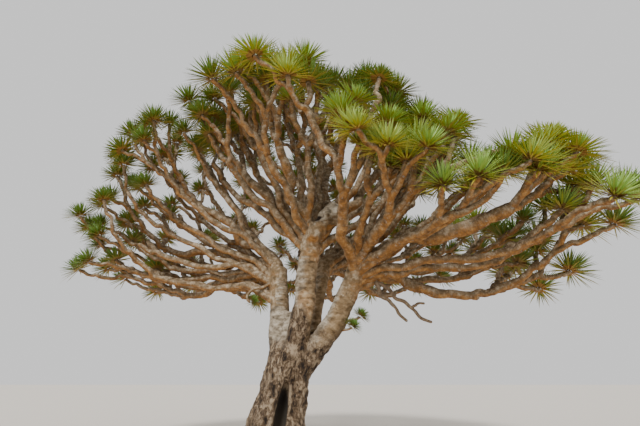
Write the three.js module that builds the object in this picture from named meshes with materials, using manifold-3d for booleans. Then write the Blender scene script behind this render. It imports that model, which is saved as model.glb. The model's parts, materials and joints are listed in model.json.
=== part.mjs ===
// Dragon blood tree: a fluted trunk on root flares, four stems, boughs that fan out from the stem heads,
// and masses of forking twigs that end in rosettes of sword leaves on an umbrella-shaped crown.
// Millimetres, +Z up, +X to the right, -Y to the front. The origin is on the ground under the trunk's middle.
import * as THREE from 'three';
import { mergeVertices } from 'three/addons/utils/BufferGeometryUtils.js';
import Module from 'manifold-3d';

const wasm = await Module();
wasm.setup();

// Trunk
const TRUNK_HEIGHT = 1640;
const TRUNK_RADIUS = 288;
const TRUNK_LEAN = 0.18;
const FLARE_RADIUS = 275;
const FLARE_DECAY = 420;
const FORK_SWELL = 35;
const FORK_START = 1000;
const FORK_ROUNDING = 0.42;
const ROUNDING_HEIGHT = 380;
const TRUNK_SIDES = 20;
const TRUNK_STEPS = 12;

// The trunk's lean at its foot and at its top, as shares of its whole lean
const LEAN_SHARES = { foot: 0.7, top: 1.4 };

// Flutes round the trunk: how many, how deep they are and how much deeper on the flares, as shares of its
// radius, and in radians the turn they start at and how far they twist up to the top
const FLUTES = [
  { count: 4, depth: 0.05, flared: 0.1, turn: 0.8, twist: 0 },
  { count: 7, depth: 0.025, flared: 0.05, turn: -1.1, twist: 2 },
];

// The hollow in the front of the trunk, a tall lens that leans with the bark
const HOLLOW_PLACE = [118, -350, 560];
const HOLLOW_HALF = [85, 250, 510];
const HOLLOW_LEAN_DEG = 9.5;

// Stems: foot and head places, the directions in which they leave the one and arrive at the other, and the
// radius at both ends
const STEMS = {
  left: {
    foot: [100, 40, 1100],
    head: [10, 130, 2680],
    leave: [-10, 3, 100],
    arrive: [0, 3, 100],
    radii: [158, 126],
  },
  middle: {
    foot: [225, -120, 1100],
    head: [530, -290, 3040],
    leave: [22, -10, 100],
    arrive: [15, -10, 100],
    radii: [165, 146],
  },
  back: {
    foot: [370, 120, 1200],
    head: [700, 330, 2760],
    leave: [30, 10, 100],
    arrive: [15, 25, 100],
    radii: [120, 102],
  },
  right: {
    foot: [330, -40, 1180],
    head: [1170, -290, 2580],
    leave: [80, -10, 90],
    arrive: [25, -15, 100],
    radii: [172, 138],
  },
};
const STEM_SIDES = 10;
const STEM_STEPS = 8;
const STEM_SWAY = 0.012;
const STEM_PHASE = 1.7;

// How far the handles of a limb's cubic lie from its ends, as a share of its reach
const HANDLE_SHARE = 0.36;

// The finer part of a limb's sway, as a share of the whole sway
const RIPPLE = 0.3;

// The knobby stub of a lost bough, on the middle stem's head: it turns over to the right
const STUB = { at: 0.94, reach: [430, -160, 440], leave: [0, -1, 4], arrive: [5, 0, 1], radii: [140, 145] };
const STUB_SIDES = 8;
const STUB_STEPS = 5;

// Crown: its middle, low between the stem heads, and the angle over which the reaches of its boughs blend
const CROWN_MIDDLE = new THREE.Vector3(500, 0, 2300);
const REACH_BLEND_DEG = 19;

// The side on which no bough grew, so that the crown is short there
const OPEN_SIDE = { side: 208, rise: 16, reach: 2500 };

// Boughs: the stem they leave and how far up it, the side and the rise of their tips in degrees, as seen
// from the crown's middle, and how far from there their leaves reach. girth makes one thicker or thinner.
const BOUGHS = {
  low_left: { stem: 'left', at: 0.86, side: 156, rise: 2, reach: 3900, girth: 0.84 },
  low_back_left: { stem: 'left', at: 0.9, side: 124, rise: 9, reach: 4100, girth: 0.84 },
  far_left: { stem: 'left', at: 0.96, side: 160, rise: 18, reach: 4800, girth: 0.84 },
  high_left: { stem: 'left', at: 1, side: 168, rise: 38, reach: 4520, girth: 0.84 },
  high_back_left: { stem: 'left', at: 1, side: 136, rise: 35, reach: 4450, girth: 0.84 },
  top_left: { stem: 'middle', at: 1, side: 180, rise: 60, reach: 3800 },
  top_front: { stem: 'middle', at: 1, side: 235, rise: 68, reach: 3780 },
  top_back: { stem: 'middle', at: 1, side: 60, rise: 76, reach: 3950 },
  top_right: { stem: 'middle', at: 0.97, side: 352, rise: 60, reach: 3820 },
  near_front: { stem: 'right', at: 0.93, side: 290, rise: 38, reach: 2850 },
  low_back: { stem: 'back', at: 0.9, side: 86, rise: 12, reach: 4000 },
  high_back: { stem: 'back', at: 1, side: 96, rise: 46, reach: 4300 },
  low_back_right: { stem: 'back', at: 0.95, side: 46, rise: 13, reach: 4100 },
  high_back_right: { stem: 'back', at: 1, side: 38, rise: 42, reach: 3900 },
  low_right: { stem: 'right', at: 0.84, side: 359, rise: -2, reach: 4050 },
  far_right: { stem: 'right', at: 0.95, side: 331, rise: 15, reach: 5120, girth: 1.3 },
  upper_right: { stem: 'right', at: 1, side: 346, rise: 38, reach: 3000 },
  near_right: { stem: 'right', at: 1, side: 310, rise: 24, reach: 2950 },
};
const BOUGH_SHARE = 0.58;
const BOUGH_RADII = [94, 68];
const BOUGH_SIDES = 6;
const BOUGH_STEPS = 5;
const BOUGH_LAUNCH_RISE = 0.75;
const BOUGH_SWAY = 0.045;
const MASS_START = 0.97;

// Masses: two at each bough's tip. Their twigs fork in two again and again, up to the crown's outside.
const GENERATIONS = 3;
const LENGTH_RATIO = 0.82;
const FORK_SPREAD_DEG = 27;
const FORK_JITTER_DEG = 7;
const FORK_TURN_JITTER_DEG = 26;
const LIFT = 0.16;
const TWIG_RADII = [67, 57, 48, 38];
const TWIG_SIDES = 3;
const TWIG_STEPS = 2;
const TWIG_SWAY = 0.05;
const SHORTEST_SHARE = 0.88;
const SHARE_SPAN = 0.24;
const START_INSIDE = 0.92;
const SHORTEST_TWIG = 110;
const FARTHEST_LOOK = 2800;
const LOOK_STEP = 40;

// Rosettes: a small core with twenty faces, drawn out into leaves. Each leaf stands for a spray of them.
const LEAF_LENGTH = 380;
const SPRAY_LENGTH = 470;
const SPRAY_SPAN = 0.16;
const SHORTEST_LEAF = 240;
const LEAF_HALF_WIDTH = 26;
const CORE_RADIUS = 74;
const CORE_RISE = 0.7;
const LEAF_RAISE = 0.88;
const LOWEST_LEAF_DEG = 112;
const LEAF_JITTER_DEG = 6;
const LEAF_LIFT = 0.3;

// The bare twigs that hang on the right, under the crown: each leaves the one that on counts, or the bough
const BARE_TWIGS_BOUGH = 'low_right';
const BARE_TWIGS = [
  { on: -1, at: 0.2, reach: [410, -150, -640], leave: [1, -1, -3], arrive: [3, -1, -3], radii: [36, 20] },
  { on: 0, at: 0.36, reach: [190, -40, -20], leave: [2, 0, -1], arrive: [1, 0, -0.2], radii: [24, 19] },
  { on: 0, at: 0.12, reach: [700, -200, -580], leave: [3, -1, -1], arrive: [3, -1, -1], radii: [32, 20] },
  { on: 2, at: 0.66, reach: [170, -30, 60], leave: [1, 0, 1], arrive: [1, 0, -0.2], radii: [23, 18] },
];
const BARE_TWIG_SIDES = 5;
const BARE_TWIG_STEPS = 4;

// Clearances: between solids that meet, between limbs of different masses, and how finely that is tried
const GAP = 0.3;
const ROOM = 10;
const PROBES = 9;
const LIMB_PIECES = 8;
const TWIG_PIECES = 3;

// Seeds of the limbs and masses, with the step from one to the next
const BOUGH_SEEDS = { first: 101, step: 37 };
const FORK_SEEDS = { first: 900, step: 53 };
const MASS_SEEDS = { first: 5000, step: 211, side: 97 };

const UP = new THREE.Vector3(0, 0, 1);
const DOWN = new THREE.Vector3(0, 0, -1);
const SIDEWAYS = new THREE.Vector3(1, 0, 0);
const radians = THREE.MathUtils.degToRad;
const offAxis = (along) => (Math.abs(along.z) < 0.9 ? UP : SIDEWAYS);
const evenRows = (steps) => Array.from({ length: steps + 1 }, (_, i) => i / steps);

// A seeded chain of numbers from 0 to 1
function dice(seed) {
  let state = (seed % 2147483646) + 1;
  const roll = () => {
    state = (state * 16807) % 2147483647;
    return state / 2147483647;
  };
  roll();
  roll();
  return roll;
}

// Unit vector from a side, counted from +X towards +Y, and a rise above the level, in degrees
function heading(side, rise) {
  const level = Math.cos(radians(rise));
  const [x, y] = [Math.cos(radians(side)), Math.sin(radians(side))];
  return new THREE.Vector3(level * x, level * y, Math.sin(radians(rise)));
}

// How far leaves reach from the crown's middle in a direction, blended from the boughs that point that way
const REACHES = [...Object.values(BOUGHS), OPEN_SIDE].map(({ side, rise, reach }) => ({
  aim: heading(side, rise),
  reach,
}));
function crownReach(direction) {
  const blend = radians(REACH_BLEND_DEG);
  let weights = 0;
  let sum = 0;
  REACHES.forEach(({ aim, reach }) => {
    const weight = Math.exp(-((aim.angleTo(direction) / blend) ** 2));
    weights += weight;
    sum += weight * reach;
  });
  return sum / weights;
}

// How far it is from a point to the crown's outside along a direction
function roomAhead(point, direction) {
  const place = point.clone();
  const out = new THREE.Vector3();
  for (let far = 0; far < FARTHEST_LOOK; far += LOOK_STEP) {
    out.subVectors(place, CROWN_MIDDLE);
    const distance = out.length();
    if (distance > crownReach(out.divideScalar(distance))) return far;
    place.addScaledVector(direction, LOOK_STEP);
  }
  return FARTHEST_LOOK;
}

// A cubic from a foot to a tip, with a sway to the sides that dies out at both ends
class LimbLine extends THREE.Curve {
  constructor({ from, to, leave, arrive, sway = 0, phase = 0 }) {
    super();
    this.arcLengthDivisions = 48;
    const reach = from.distanceTo(to);
    const pull = reach * HANDLE_SHARE;
    const nearFoot = from.clone().addScaledVector(leave.clone().normalize(), pull);
    const nearTip = to.clone().addScaledVector(arrive.clone().normalize(), -pull);
    this.core = new THREE.CubicBezierCurve3(from, nearFoot, nearTip, to);
    this.swayReach = reach * sway;
    this.phase = phase;
    const along = to.clone().sub(from).normalize();
    this.sideways = new THREE.Vector3().crossVectors(along, offAxis(along)).normalize();
    this.upways = new THREE.Vector3().crossVectors(this.sideways, along).normalize();
  }

  getPoint(t, target = new THREE.Vector3()) {
    const fade = Math.sin(Math.PI * t) ** 2 * this.swayReach;
    const turn = Math.PI * t;
    const aside = Math.sin(2 * turn + this.phase) + RIPPLE * Math.sin(7 * turn + 2 * this.phase);
    const above = Math.cos(3 * turn + this.phase) + RIPPLE * Math.cos(8 * turn + 3 * this.phase);
    return this.core
      .getPoint(t, target)
      .addScaledVector(this.sideways, fade * aside)
      .addScaledVector(this.upways, fade * above);
  }
}

// Places along a line, each with its direction and a side that turns as little as it can
function framesAlong(line, rows, firstSide) {
  const frames = [];
  rows.forEach((share, row) => {
    const place = line.getPointAt(share);
    const along = line.getTangentAt(share);
    const before = frames[row - 1];
    const side = new THREE.Vector3();
    if (before) {
      side.copy(before.side).applyQuaternion(new THREE.Quaternion().setFromUnitVectors(before.along, along));
    } else {
      side.copy(firstSide ?? offAxis(along));
    }
    side.addScaledVector(along, -side.dot(along)).normalize();
    frames.push({ place, along, side, across: new THREE.Vector3().crossVectors(along, side) });
  });
  return frames;
}

// A closed mesh as a solid
function solidOf(geometry) {
  const bare = new THREE.BufferGeometry().setAttribute('position', geometry.getAttribute('position'));
  if (geometry.index) bare.setIndex(geometry.index);
  const merged = mergeVertices(bare, 1e-3);
  return new wasm.Manifold(
    new wasm.Mesh({
      numProp: 3,
      vertProperties: merged.getAttribute('position').array,
      triVerts: new Uint32Array(merged.index.array),
    }),
  );
}

// A cylinder bent along frames, with its own radius at each. extra widens it all over, ends included.
function limbGeometry(frames, rows, radiusAt, sides, extra = 0) {
  const steps = rows.length - 1;
  const geometry = new THREE.CylinderGeometry(1, 1, 1, sides, steps);
  const position = geometry.getAttribute('position');
  const widened = extra / Math.cos(Math.PI / sides);
  const point = new THREE.Vector3();
  for (let i = 0; i < position.count; i += 1) {
    const row = Math.round((position.getY(i) + 0.5) * steps);
    const { place, along, side, across } = frames[row];
    const round = Math.atan2(position.getX(i), position.getZ(i));
    const radius = Math.hypot(position.getX(i), position.getZ(i)) * (radiusAt(rows[row], round) + widened);
    const beyond = { 0: -extra, [steps]: extra }[row] ?? 0;
    point.copy(place).addScaledVector(along, beyond);
    point.addScaledVector(side, radius * Math.sin(round));
    point.addScaledVector(across, -radius * Math.cos(round));
    position.setXYZ(i, point.x, point.y, point.z);
  }
  return geometry;
}

// A limb keeps its line and its make, so that its neighbours can be cut clear of it
function makeLimb(line, [footRadius, tipRadius], sides, steps) {
  const rows = evenRows(steps);
  const frames = framesAlong(line, rows);
  const radiusAt = (share) => footRadius + (tipRadius - footRadius) * share;
  return {
    line,
    radiusAt,
    solid: () => solidOf(limbGeometry(frames, rows, radiusAt, sides)),
    clearance: () => solidOf(limbGeometry(frames, rows, radiusAt, sides, GAP)),
  };
}

// Cuts a solid clear of its neighbours and keeps its largest body
function trimmed(solid, clearances) {
  const cut = clearances.reduce((left, clearance) => left.subtract(clearance), solid);
  return cut.decompose().reduce((largest, body) => (body.volume() > largest.volume() ? body : largest));
}

// The trunk: nearly straight, slightly leaning, fluted, widest at the root flares and rounded off at its fork
const trunkLine = new LimbLine({
  from: new THREE.Vector3(0, 0, 0),
  to: new THREE.Vector3(TRUNK_HEIGHT * TRUNK_LEAN, 0, TRUNK_HEIGHT),
  leave: new THREE.Vector3(TRUNK_LEAN * LEAN_SHARES.foot, 0, 1),
  arrive: new THREE.Vector3(TRUNK_LEAN * LEAN_SHARES.top, 0, 1),
});

function trunkRadius(share, round) {
  const height = share * TRUNK_HEIGHT;
  const flare = Math.exp(-height / FLARE_DECAY);
  const swell = THREE.MathUtils.smoothstep(height, FORK_START, TRUNK_HEIGHT) * FORK_SWELL;
  const flutes = FLUTES.reduce((sum, { count, depth, flared, turn, twist }) => {
    return sum + (depth + flared * flare) * Math.cos(count * round + turn + twist * share);
  }, 0);
  const rounding = THREE.MathUtils.smoothstep(height, TRUNK_HEIGHT - ROUNDING_HEIGHT, TRUNK_HEIGHT) ** 2;
  const plain = TRUNK_RADIUS + FLARE_RADIUS * flare + swell;
  return plain * (1 + flutes) * (1 - FORK_ROUNDING * rounding);
}

function trunkSolid(extra) {
  const rows = evenRows(TRUNK_STEPS);
  const frames = framesAlong(trunkLine, rows, SIDEWAYS);
  const geometry = limbGeometry(frames, rows, trunkRadius, TRUNK_SIDES, extra);
  const position = geometry.getAttribute('position');
  const lowestRow = TRUNK_HEIGHT / TRUNK_STEPS / 2;
  for (let i = 0; i < position.count; i += 1) {
    if (position.getZ(i) < lowestRow) position.setZ(i, -extra);
  }
  return solidOf(geometry);
}

function hollowSolid() {
  const lens = new THREE.SphereGeometry(1, 10, 8).rotateX(Math.PI / 2).scale(...HOLLOW_HALF);
  return solidOf(lens.rotateY(radians(HOLLOW_LEAN_DEG)).translate(...HOLLOW_PLACE));
}

// Stems start inside the trunk's top
function growStem({ foot, head, leave, arrive, radii }, index) {
  const line = new LimbLine({
    from: new THREE.Vector3(...foot),
    to: new THREE.Vector3(...head),
    leave: new THREE.Vector3(...leave),
    arrive: new THREE.Vector3(...arrive),
    sway: STEM_SWAY,
    phase: index * STEM_PHASE,
  });
  return makeLimb(line, radii, STEM_SIDES, STEM_STEPS);
}

// A limb that leaves another, by its reach from there
function growSideLimb(parent, { at, reach, leave = reach, arrive = reach, radii }, sides, steps) {
  const from = parent.line.getPointAt(at);
  const to = from.clone().add(new THREE.Vector3(...reach));
  const ends = { leave: new THREE.Vector3(...leave), arrive: new THREE.Vector3(...arrive) };
  return makeLimb(new LimbLine({ from, to, ...ends, sway: BOUGH_SWAY }), radii, sides, steps);
}

// A bough leaves its stem upwards and outwards, and arrives pointing away from the crown's middle
function growBough({ stem, at, side, rise, reach, girth = 1 }, stems, index) {
  const roll = dice(BOUGH_SEEDS.first + index * BOUGH_SEEDS.step);
  const outward = heading(side, rise);
  const to = CROWN_MIDDLE.clone().addScaledVector(outward, reach * BOUGH_SHARE);
  const from = stems[stem].line.getPointAt(at);
  const ahead = to.clone().sub(from).normalize();
  const leave = ahead.clone().addScaledVector(UP, BOUGH_LAUNCH_RISE * (1 - outward.z));
  const arrive = ahead.add(outward).addScaledVector(UP, LIFT);
  const line = new LimbLine({ from, to, leave, arrive, sway: BOUGH_SWAY, phase: roll() * 2 * Math.PI });
  const limb = makeLimb(line, BOUGH_RADII.map((radius) => radius * girth), BOUGH_SIDES, BOUGH_STEPS);
  return { ...limb, stem, twigGirth: Math.min(girth, 1) };
}

// Two directions that fork away from one, in a plane that turns a quarter with each generation
function forkDirections(direction, generation, roll) {
  const level = new THREE.Vector3().crossVectors(UP, direction).normalize();
  const steep = new THREE.Vector3().crossVectors(direction, level).normalize();
  const turn = (generation * Math.PI) / 2 + (roll() - 0.5) * 2 * radians(FORK_TURN_JITTER_DEG);
  const across = level.multiplyScalar(Math.cos(turn)).addScaledVector(steep, Math.sin(turn));
  return [-1, 1].map((sign) => {
    const spread = radians(FORK_SPREAD_DEG + (roll() - 0.5) * 2 * FORK_JITTER_DEG);
    return direction
      .clone()
      .multiplyScalar(Math.cos(spread))
      .addScaledVector(across, sign * Math.sin(spread))
      .addScaledVector(UP, LIFT)
      .normalize();
  });
}

// One twig and all that forks from it. Each length is the part of the room ahead that its generation takes.
function growTwigs(twigs, { from, leave, direction, generation, girth, seed, parent }) {
  const roll = dice(seed);
  const room = roomAhead(from, direction) - LEAF_LENGTH;
  const share = (1 - LENGTH_RATIO) / (1 - LENGTH_RATIO ** (GENERATIONS - generation));
  const reach = Math.max(SHORTEST_TWIG, room * share * (SHORTEST_SHARE + SHARE_SPAN * roll()));
  const to = from.clone().addScaledVector(direction, reach);
  const arrive = direction.clone().addScaledVector(UP, LIFT).normalize();
  const line = new LimbLine({ from, to, leave, arrive, sway: TWIG_SWAY, phase: roll() * 2 * Math.PI });
  const [foot, tip] = TWIG_RADII.slice(generation, generation + 2).map((radius) => radius * girth);
  const radiusAt = (t) => foot + (tip - foot) * t;
  const twig = { line, radiusAt, to, generation, seed, parent, children: [] };
  twigs.push(twig);
  if (generation === GENERATIONS - 1) return;
  forkDirections(direction, generation, roll).forEach((child, index) => {
    const grown = { from: to, leave: arrive, direction: child, generation: generation + 1, girth };
    growTwigs(twigs, { ...grown, seed: seed * 3 + index + 1, parent: twig });
  });
}

// A limb as short straight pieces with a radius, for tests of what touches what
function limbPieces(limb, count) {
  const points = limb.line.getSpacedPoints(count);
  return points.slice(1).map((to, i) => ({
    line: new THREE.Line3(points[i], to),
    radius: limb.radiusAt((i + 0.5) / count),
  }));
}

// Whether a straight piece comes too near to any of the others, tried at places along it
const probe = new THREE.Vector3();
const nearest = new THREE.Vector3();
function touches(piece, others) {
  for (let i = 0; i <= PROBES; i += 1) {
    piece.line.at(i / PROBES, probe);
    const found = others.some((other) => {
      const keepOff = other.radius + piece.radius + ROOM;
      return other.line.closestPointToPoint(probe, true, nearest).distanceToSquared(probe) < keepOff ** 2;
    });
    if (found) return true;
  }
  return false;
}

// A rosette keeps to the places that are nearer to it than to any rosette of another mass
function spaceOf(own, others) {
  const planes = others.map((other) => {
    const normal = other.clone().sub(own).normalize();
    return { normal, limit: normal.dot(other.clone().add(own).multiplyScalar(0.5)) };
  });
  return (point, margin) => planes.every(({ normal, limit }) => normal.dot(point) + margin < limit);
}

const CORE_CENTRE = new THREE.Vector3(0, 0, CORE_RADIUS * CORE_RISE);

// The faces of a rosette's core as corner triples. One face lies on the twig's tip, turned like its section.
function coreFaces() {
  const core = new THREE.IcosahedronGeometry(CORE_RADIUS);
  const position = core.getAttribute('position');
  const corner = (i) => new THREE.Vector3().fromBufferAttribute(position, i);
  const foot = corner(0).add(corner(1)).add(corner(2)).normalize();
  core.applyQuaternion(new THREE.Quaternion().setFromUnitVectors(foot, DOWN));
  const first = corner(0);
  core.rotateZ(-Math.PI / 2 - Math.atan2(first.y, first.x)).translate(...CORE_CENTRE);
  return Array.from({ length: position.count / 3 }, (_, face) => [0, 1, 2].map((k) => corner(face * 3 + k)));
}
const CORE_FACES = coreFaces();

// A rosette: the faces of its core are drawn out into leaves where they fit, and stay flat where they don't
function rosetteSolid({ place, along, side, across }, seed, fits) {
  const roll = dice(seed + 7);
  const frame = new THREE.Matrix4().makeBasis(side, across, along).setPosition(place);
  const made = [];
  CORE_FACES.forEach((face) => {
    const middle = new THREE.Vector3().add(face[0]).add(face[1]).add(face[2]).divideScalar(3);
    const outward = middle.clone().sub(CORE_CENTRE);
    const standing = outward.angleTo(UP);
    const polar = standing * LEAF_RAISE + (roll() - 0.5) * 2 * radians(LEAF_JITTER_DEG);
    const aim = new THREE.Vector3(Math.sin(polar), 0, Math.cos(polar));
    aim.applyAxisAngle(UP, Math.atan2(outward.y, outward.x)).transformDirection(frame);
    aim.addScaledVector(UP, LEAF_LIFT).normalize();
    const root = middle.applyMatrix4(frame);
    const corners = face.map((point) => point.clone().applyMatrix4(frame));
    const longest = SPRAY_LENGTH * (1 + SPRAY_SPAN * (roll() - 0.5));
    const length = Math.max(SHORTEST_LEAF, Math.min(longest, roomAhead(root, aim)));
    const tip = root.clone().addScaledVector(aim, length);
    if (standing < radians(LOWEST_LEAF_DEG) && fits(root, tip)) {
      [0, 1, 2].forEach((k) => made.push(corners[k], corners[(k + 1) % 3], tip));
    } else {
      made.push(...corners);
    }
  });
  return solidOf(new THREE.BufferGeometry().setFromPoints(made));
}

// The kept twigs as chains: each runs on through the first twig that its own tip forks into, while the second
// one starts a chain of its own inside it. A chain ends in a rosette.
function chainSolids(twig, firstSide, fitsFor) {
  const chain = [twig];
  while (chain.at(-1).children.length > 0) chain.push(chain.at(-1).children[0]);
  const path = new THREE.CurvePath();
  chain.forEach(({ line }) => path.add(line));
  const lengths = path.getCurveLengths();
  const whole = lengths.at(-1);
  const stemMiddle = twig.generation === 0 ? [lengths[0] / 2] : [];
  const rows = [0, ...stemMiddle, ...lengths].map((far) => far / whole);
  const tipRows = lengths.map((_, i) => rows.length - lengths.length + i);
  const startShare = firstSide ? START_INSIDE : 1;
  const radiusAt = (share) => {
    const row = rows.indexOf(share);
    const member = chain[tipRows.findIndex((tipRow) => tipRow >= row)];
    if (row === 0) return member.radiusAt(0) * startShare;
    return member.radiusAt(tipRows.includes(row) ? 1 : 0.5);
  };
  const frames = framesAlong(path, rows, firstSide);
  const solids = [solidOf(limbGeometry(frames, rows, radiusAt, TWIG_SIDES))];
  chain.forEach(({ children }, i) => {
    children.slice(1).forEach((child) => {
      solids.push(...chainSolids(child, frames[tipRows[i]].side, fitsFor));
    });
  });
  solids.push(rosetteSolid(frames.at(-1), chain.at(-1).seed, fitsFor(chain.at(-1))));
  return solids;
}

function material(name, color, roughness) {
  return new THREE.MeshStandardMaterial({ name, color, roughness, metalness: 0, flatShading: true });
}
const trunkBark = material('trunk bark', 0x7d6f62, 0.95);
const stemBark = material('stem bark', 0x93887b, 0.9);
const boughBark = material('bough bark', 0x9a7b5c, 0.9);
const deadBark = material('dead bark', 0x8a7a68, 0.95);
const foliage = material('foliage', 0x5f7434, 0.6);

// A named mesh whose own origin is at its foot
function placed(name, solid, finish, foot) {
  const { vertProperties, triVerts } = solid.getMesh();
  const geometry = new THREE.BufferGeometry()
    .setAttribute('position', new THREE.BufferAttribute(new Float32Array(vertProperties), 3))
    .setIndex(new THREE.BufferAttribute(new Uint32Array(triVerts), 1))
    .translate(-foot.x, -foot.y, -foot.z);
  geometry.computeVertexNormals();
  const mesh = new THREE.Mesh(geometry, finish);
  mesh.name = name;
  mesh.position.copy(foot);
  return mesh;
}

const tree = new THREE.Group();
tree.name = 'dragon_blood_tree';

// Trunk
const hollow = hollowSolid();
const trunkClearance = trunkSolid(GAP);
tree.add(placed('trunk', trimmed(trunkSolid(0), [hollow]), trunkBark, new THREE.Vector3()));

// Stems, each cut clear of the trunk and of the stems before it
const stems = {};
const stemGroups = {};
const stemClearances = [trunkClearance, hollow];
Object.entries(STEMS).forEach(([name, make], index) => {
  const stem = growStem(make, index);
  const stub = growSideLimb(stem, STUB, STUB_SIDES, STUB_STEPS);
  const whole = name === 'middle' ? stem.solid().add(stub.solid()) : stem.solid();
  stemGroups[name] = new THREE.Group();
  const solid = trimmed(whole, stemClearances);
  stemGroups[name].add(placed(`stem_${name}`, solid, stemBark, stem.line.getPoint(0)));
  tree.add(stemGroups[name]);
  stemClearances.push(stem.clearance());
  if (name === 'middle') stemClearances.push(stub.clearance());
  stems[name] = stem;
});

// Boughs, each cut clear of the stems and of the boughs before it
const boughs = {};
const boughClearances = {};
Object.entries(BOUGHS).forEach(([name, make], index) => {
  const bough = growBough(make, stems, index);
  const solid = trimmed(bough.solid(), [...stemClearances, ...Object.values(boughClearances)]);
  stemGroups[make.stem].add(placed(`bough_${name}`, solid, boughBark, bough.line.getPoint(0)));
  boughClearances[name] = bough.clearance();
  boughs[name] = bough;
});

// The bare twigs are one piece
const bareTwigs = [];
BARE_TWIGS.forEach((make) => {
  const parent = bareTwigs[make.on] ?? boughs[BARE_TWIGS_BOUGH];
  bareTwigs.push(growSideLimb(parent, make, BARE_TWIG_SIDES, BARE_TWIG_STEPS));
});
const bareWhole = bareTwigs.map((twig) => twig.solid()).reduce((sum, part) => sum.add(part));
const bareSolid = trimmed(bareWhole, Object.values(boughClearances));
stemGroups.right.add(placed('bare_twigs', bareSolid, deadBark, bareTwigs[0].line.getPoint(0)));

// Masses: the twigs of all of them are grown first, and then kept where clear, generation by generation
const masses = Object.entries(boughs).flatMap(([name, bough], index) => {
  const roll = dice(FORK_SEEDS.first + index * FORK_SEEDS.step);
  const leave = bough.line.getTangentAt(1);
  const from = bough.line.getPointAt(MASS_START);
  return forkDirections(leave, 0, roll).map((direction, side) => {
    const twigs = [];
    const seed = MASS_SEEDS.first + index * MASS_SEEDS.step + side * MASS_SEEDS.side;
    growTwigs(twigs, { from, leave, direction, generation: 0, girth: bough.twigGirth, seed, parent: null });
    return { name: `foliage_${name}_${'ab'[side]}`, bough: name, from, twigs, pieces: [], kept: new Set() };
  });
});

const bareLimbs = [...Object.values(stems), ...Object.values(boughs), ...bareTwigs];
const limbs = bareLimbs.flatMap((limb) => limbPieces(limb, LIMB_PIECES));
for (let generation = 0; generation < GENERATIONS; generation += 1) {
  masses.forEach((mass) => {
    const around = [...limbs, ...masses.filter((other) => other !== mass).flatMap((other) => other.pieces)];
    const grown = mass.twigs.filter((twig) => twig.generation === generation);
    grown.forEach((twig) => {
      const pieces = limbPieces(twig, TWIG_PIECES);
      const tip = { line: new THREE.Line3(twig.to, twig.to), radius: CORE_RADIUS * (1 + CORE_RISE) };
      const clear = ![...pieces, tip].some((piece) => touches(piece, around));
      if (generation > 0 && !(mass.kept.has(twig.parent) && clear)) return;
      mass.kept.add(twig);
      mass.pieces.push(...pieces);
      twig.parent?.children.push(twig);
    });
  });
}
masses.forEach((mass) => {
  mass.tips = [...mass.kept].filter((twig) => twig.children.length === 0);
});

masses.forEach((mass, index) => {
  const others = masses.filter((other) => other !== mass);
  const around = [...limbs, ...others.flatMap((other) => other.pieces)];
  const elders = masses.slice(0, index).filter((other) => other.bough === mass.bough);
  const otherTips = others.flatMap((other) => other.tips.map((twig) => twig.to));
  const fitsFor = (twig) => {
    const inside = spaceOf(twig.to, otherTips);
    return (root, tip) => {
      const leaf = { line: new THREE.Line3(root, tip), radius: LEAF_HALF_WIDTH };
      return inside(root, LEAF_HALF_WIDTH + ROOM) && inside(tip, ROOM) && !touches(leaf, around);
    };
  };
  const whole = chainSolids(mass.twigs[0], null, fitsFor).reduce((sum, part) => sum.add(part));
  const elderStems = elders.map(({ twigs: [stem] }) => {
    return makeLimb(stem.line, [stem.radiusAt(0), stem.radiusAt(1)], TWIG_SIDES, TWIG_STEPS).clearance();
  });
  const solid = trimmed(whole, [boughClearances[mass.bough], ...elderStems]);
  stemGroups[boughs[mass.bough].stem].add(placed(mass.name, solid, foliage, mass.from));
});

export default tree;
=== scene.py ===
"""Dragon blood tree: bark with relief, forking limbs, twigs and rosettes of leaves, in a plain studio.

The limbs, twigs and rosettes grow by the same seeded rule as the solids of the frame, in millimetres, and
the meshes are made in metres.
"""
import json
import math
from collections import namedtuple

import bpy
import numpy as np
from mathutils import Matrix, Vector
from mathutils.kdtree import KDTree

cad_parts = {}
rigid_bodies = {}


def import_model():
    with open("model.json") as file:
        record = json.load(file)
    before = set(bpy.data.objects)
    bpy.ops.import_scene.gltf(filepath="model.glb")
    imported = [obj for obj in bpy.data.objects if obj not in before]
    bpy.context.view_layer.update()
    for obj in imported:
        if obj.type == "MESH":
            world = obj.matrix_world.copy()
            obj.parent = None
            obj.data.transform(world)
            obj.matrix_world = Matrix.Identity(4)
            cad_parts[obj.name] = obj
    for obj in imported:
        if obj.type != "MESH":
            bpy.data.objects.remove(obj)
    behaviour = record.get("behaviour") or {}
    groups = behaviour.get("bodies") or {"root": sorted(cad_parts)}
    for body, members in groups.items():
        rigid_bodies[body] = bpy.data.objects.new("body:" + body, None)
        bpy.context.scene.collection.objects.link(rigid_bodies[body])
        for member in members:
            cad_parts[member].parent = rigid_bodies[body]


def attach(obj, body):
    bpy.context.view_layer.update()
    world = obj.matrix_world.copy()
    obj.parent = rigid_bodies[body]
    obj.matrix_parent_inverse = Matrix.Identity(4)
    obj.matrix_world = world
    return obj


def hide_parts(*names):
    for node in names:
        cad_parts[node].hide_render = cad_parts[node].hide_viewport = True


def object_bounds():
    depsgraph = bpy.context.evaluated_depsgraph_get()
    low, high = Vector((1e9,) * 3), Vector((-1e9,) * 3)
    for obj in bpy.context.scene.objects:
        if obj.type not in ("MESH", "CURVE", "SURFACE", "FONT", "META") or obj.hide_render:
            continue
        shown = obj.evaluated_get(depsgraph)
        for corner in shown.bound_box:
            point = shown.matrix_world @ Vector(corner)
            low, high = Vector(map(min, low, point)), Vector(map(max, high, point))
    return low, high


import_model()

CAD_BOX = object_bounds()
METRES = 0.001

# Camera, as the photograph was taken: near the ground, tilted up, with a wide lens
CAMERA_PLACE = (0.64, -6.4, 1.15)
CAMERA_TILT_DEG = 110.5
CAMERA_LENS = 24.0

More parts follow.
